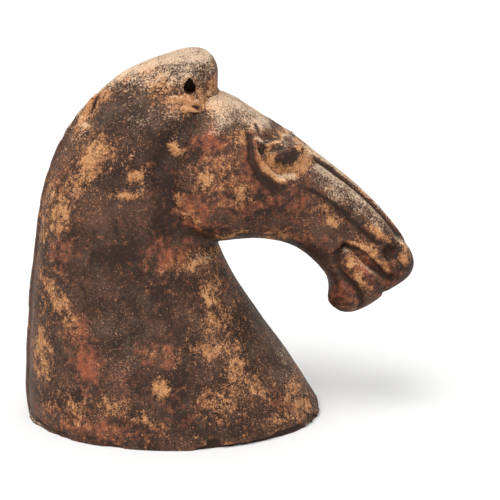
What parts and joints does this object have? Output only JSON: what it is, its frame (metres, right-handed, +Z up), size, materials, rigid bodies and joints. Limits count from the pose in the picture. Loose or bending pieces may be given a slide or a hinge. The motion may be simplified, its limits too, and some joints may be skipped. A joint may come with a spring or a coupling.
{
  "type": "hollow clay horse head",
  "caption": "Fired-clay horse head and neck, moulded hollow in halves, free-standing on its open neck rim; ears missing, leaving small round sockets.",
  "frame": {"origin": "on the surface it stands on, under the middle of the overall length, on the plane where the two halves meet", "axes": "+X the way the horse faces, +Y the horse's left, +Z up"},
  "size_m": [0.1906, 0.11, 0.1818],
  "materials": {
    "slipped_clay": "matt worn dark slip over orange-buff clay",
    "bare_clay": "matt unglazed clay",
    "eye_clay": "matt rubbed clay"
  },
  "bodies": {
    "root": {"left_half_shell": "slipped_clay", "right_half_shell": "slipped_clay", "forelock": "slipped_clay", "mane_strip": "slipped_clay", "left_ear_root": "bare_clay", "right_ear_root": "bare_clay", "left_eyeball": "eye_clay", "right_eyeball": "eye_clay", "crest_seam_coil": "bare_clay", "throat_seam_coil": "bare_clay"}
  },
  "joints": []
}
